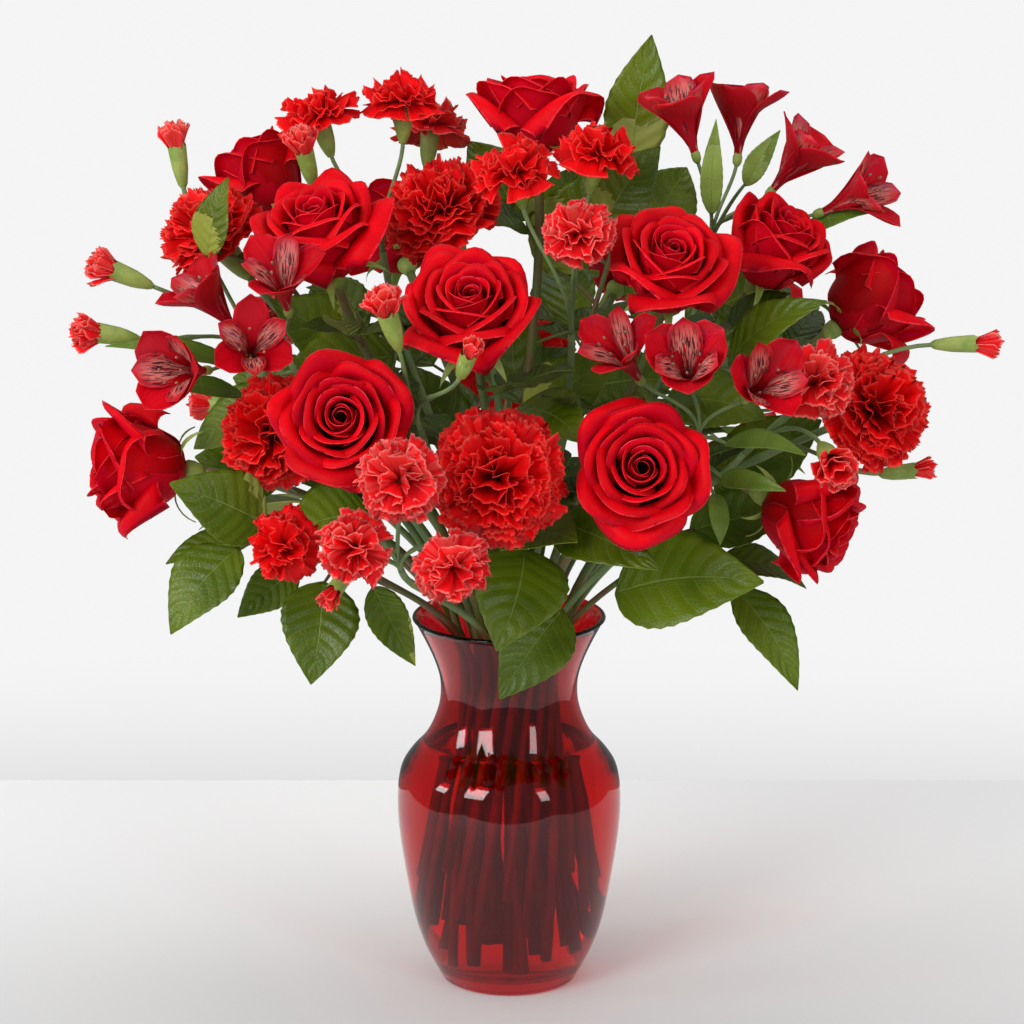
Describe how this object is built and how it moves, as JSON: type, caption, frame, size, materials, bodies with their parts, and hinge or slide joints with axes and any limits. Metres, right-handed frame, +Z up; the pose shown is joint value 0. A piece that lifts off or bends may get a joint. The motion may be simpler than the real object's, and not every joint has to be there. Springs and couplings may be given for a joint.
{
  "type": "mixed bouquet of roses and carnations in a vase",
  "caption": "Red roses, carnations, spray carnations and alstroemeria with broad-leaved greenery, standing in water in a pinched, flared red glass vase.",
  "frame": {"origin": "centre of the vase's underside", "axes": "+Z up along the vase's axis; -Y towards the side the bouquet is arranged to face; +X to that side's right"},
  "size_m": [0.485, 0.384, 0.5073],
  "materials": {
    "red_glass": "gloss",
    "water": "gloss",
    "rose_petal": "satin",
    "carnation_petal": "matte",
    "spray_carnation": "matte",
    "alstroemeria": "satin",
    "green_stem": "satin",
    "leaf": "satin"
  },
  "bodies": {
    "root": {"alstroemeria_1": "alstroemeria", "alstroemeria_2": "alstroemeria", "alstroemeria_3": "alstroemeria", "alstroemeria_4": "alstroemeria", "carnation_bloom_1": "carnation_petal", "carnation_bloom_2": "carnation_petal", "carnation_bloom_3": "carnation_petal", "carnation_bloom_4": "carnation_petal", "carnation_bloom_5": "carnation_petal", "carnation_bloom_6": "carnation_petal", "carnation_stem_1": "green_stem", "carnation_stem_2": "green_stem", "carnation_stem_3": "green_stem", "carnation_stem_4": "green_stem", "carnation_stem_5": "green_stem", "carnation_stem_6": "green_stem", "leaf_branch_1": "leaf", "leaf_branch_2": "leaf", "leaf_branch_3": "leaf", "leaf_branch_4": "leaf", "leaf_branch_5": "leaf", "leaf_branch_6": "leaf", "leaf_branch_7": "leaf", "leaf_branch_8": "leaf", "leaf_branch_9": "leaf", "rose_bloom_1": "rose_petal", "rose_bloom_10": "rose_petal", "rose_bloom_11": "rose_petal", "rose_bloom_12": "rose_petal", "rose_bloom_13": "rose_petal", "rose_bloom_2": "rose_petal", "rose_bloom_3": "rose_petal", "rose_bloom_4": "rose_petal", "rose_bloom_5": "rose_petal", "rose_bloom_6": "rose_petal", "rose_bloom_7": "rose_petal", "rose_bloom_8": "rose_petal", "rose_bloom_9": "rose_petal", "rose_stem_1": "green_stem", "rose_stem_10": "green_stem", "rose_stem_11": "green_stem", "rose_stem_12": "green_stem", "rose_stem_13": "green_stem", "rose_stem_2": "green_stem", "rose_stem_3": "green_stem", "rose_stem_4": "green_stem", "rose_stem_5": "green_stem", "rose_stem_6": "green_stem", "rose_stem_7": "green_stem", "rose_stem_8": "green_stem", "rose_stem_9": "green_stem", "spray_carnation_1": "spray_carnation", "spray_carnation_2": "spray_carnation", "spray_carnation_3": "spray_carnation", "spray_carnation_4": "spray_carnation", "spray_carnation_5": "spray_carnation", "spray_carnation_6": "spray_carnation", "spray_carnation_7": "spray_carnation", "vase": "red_glass", "water": "water"}
  },
  "joints": []
}
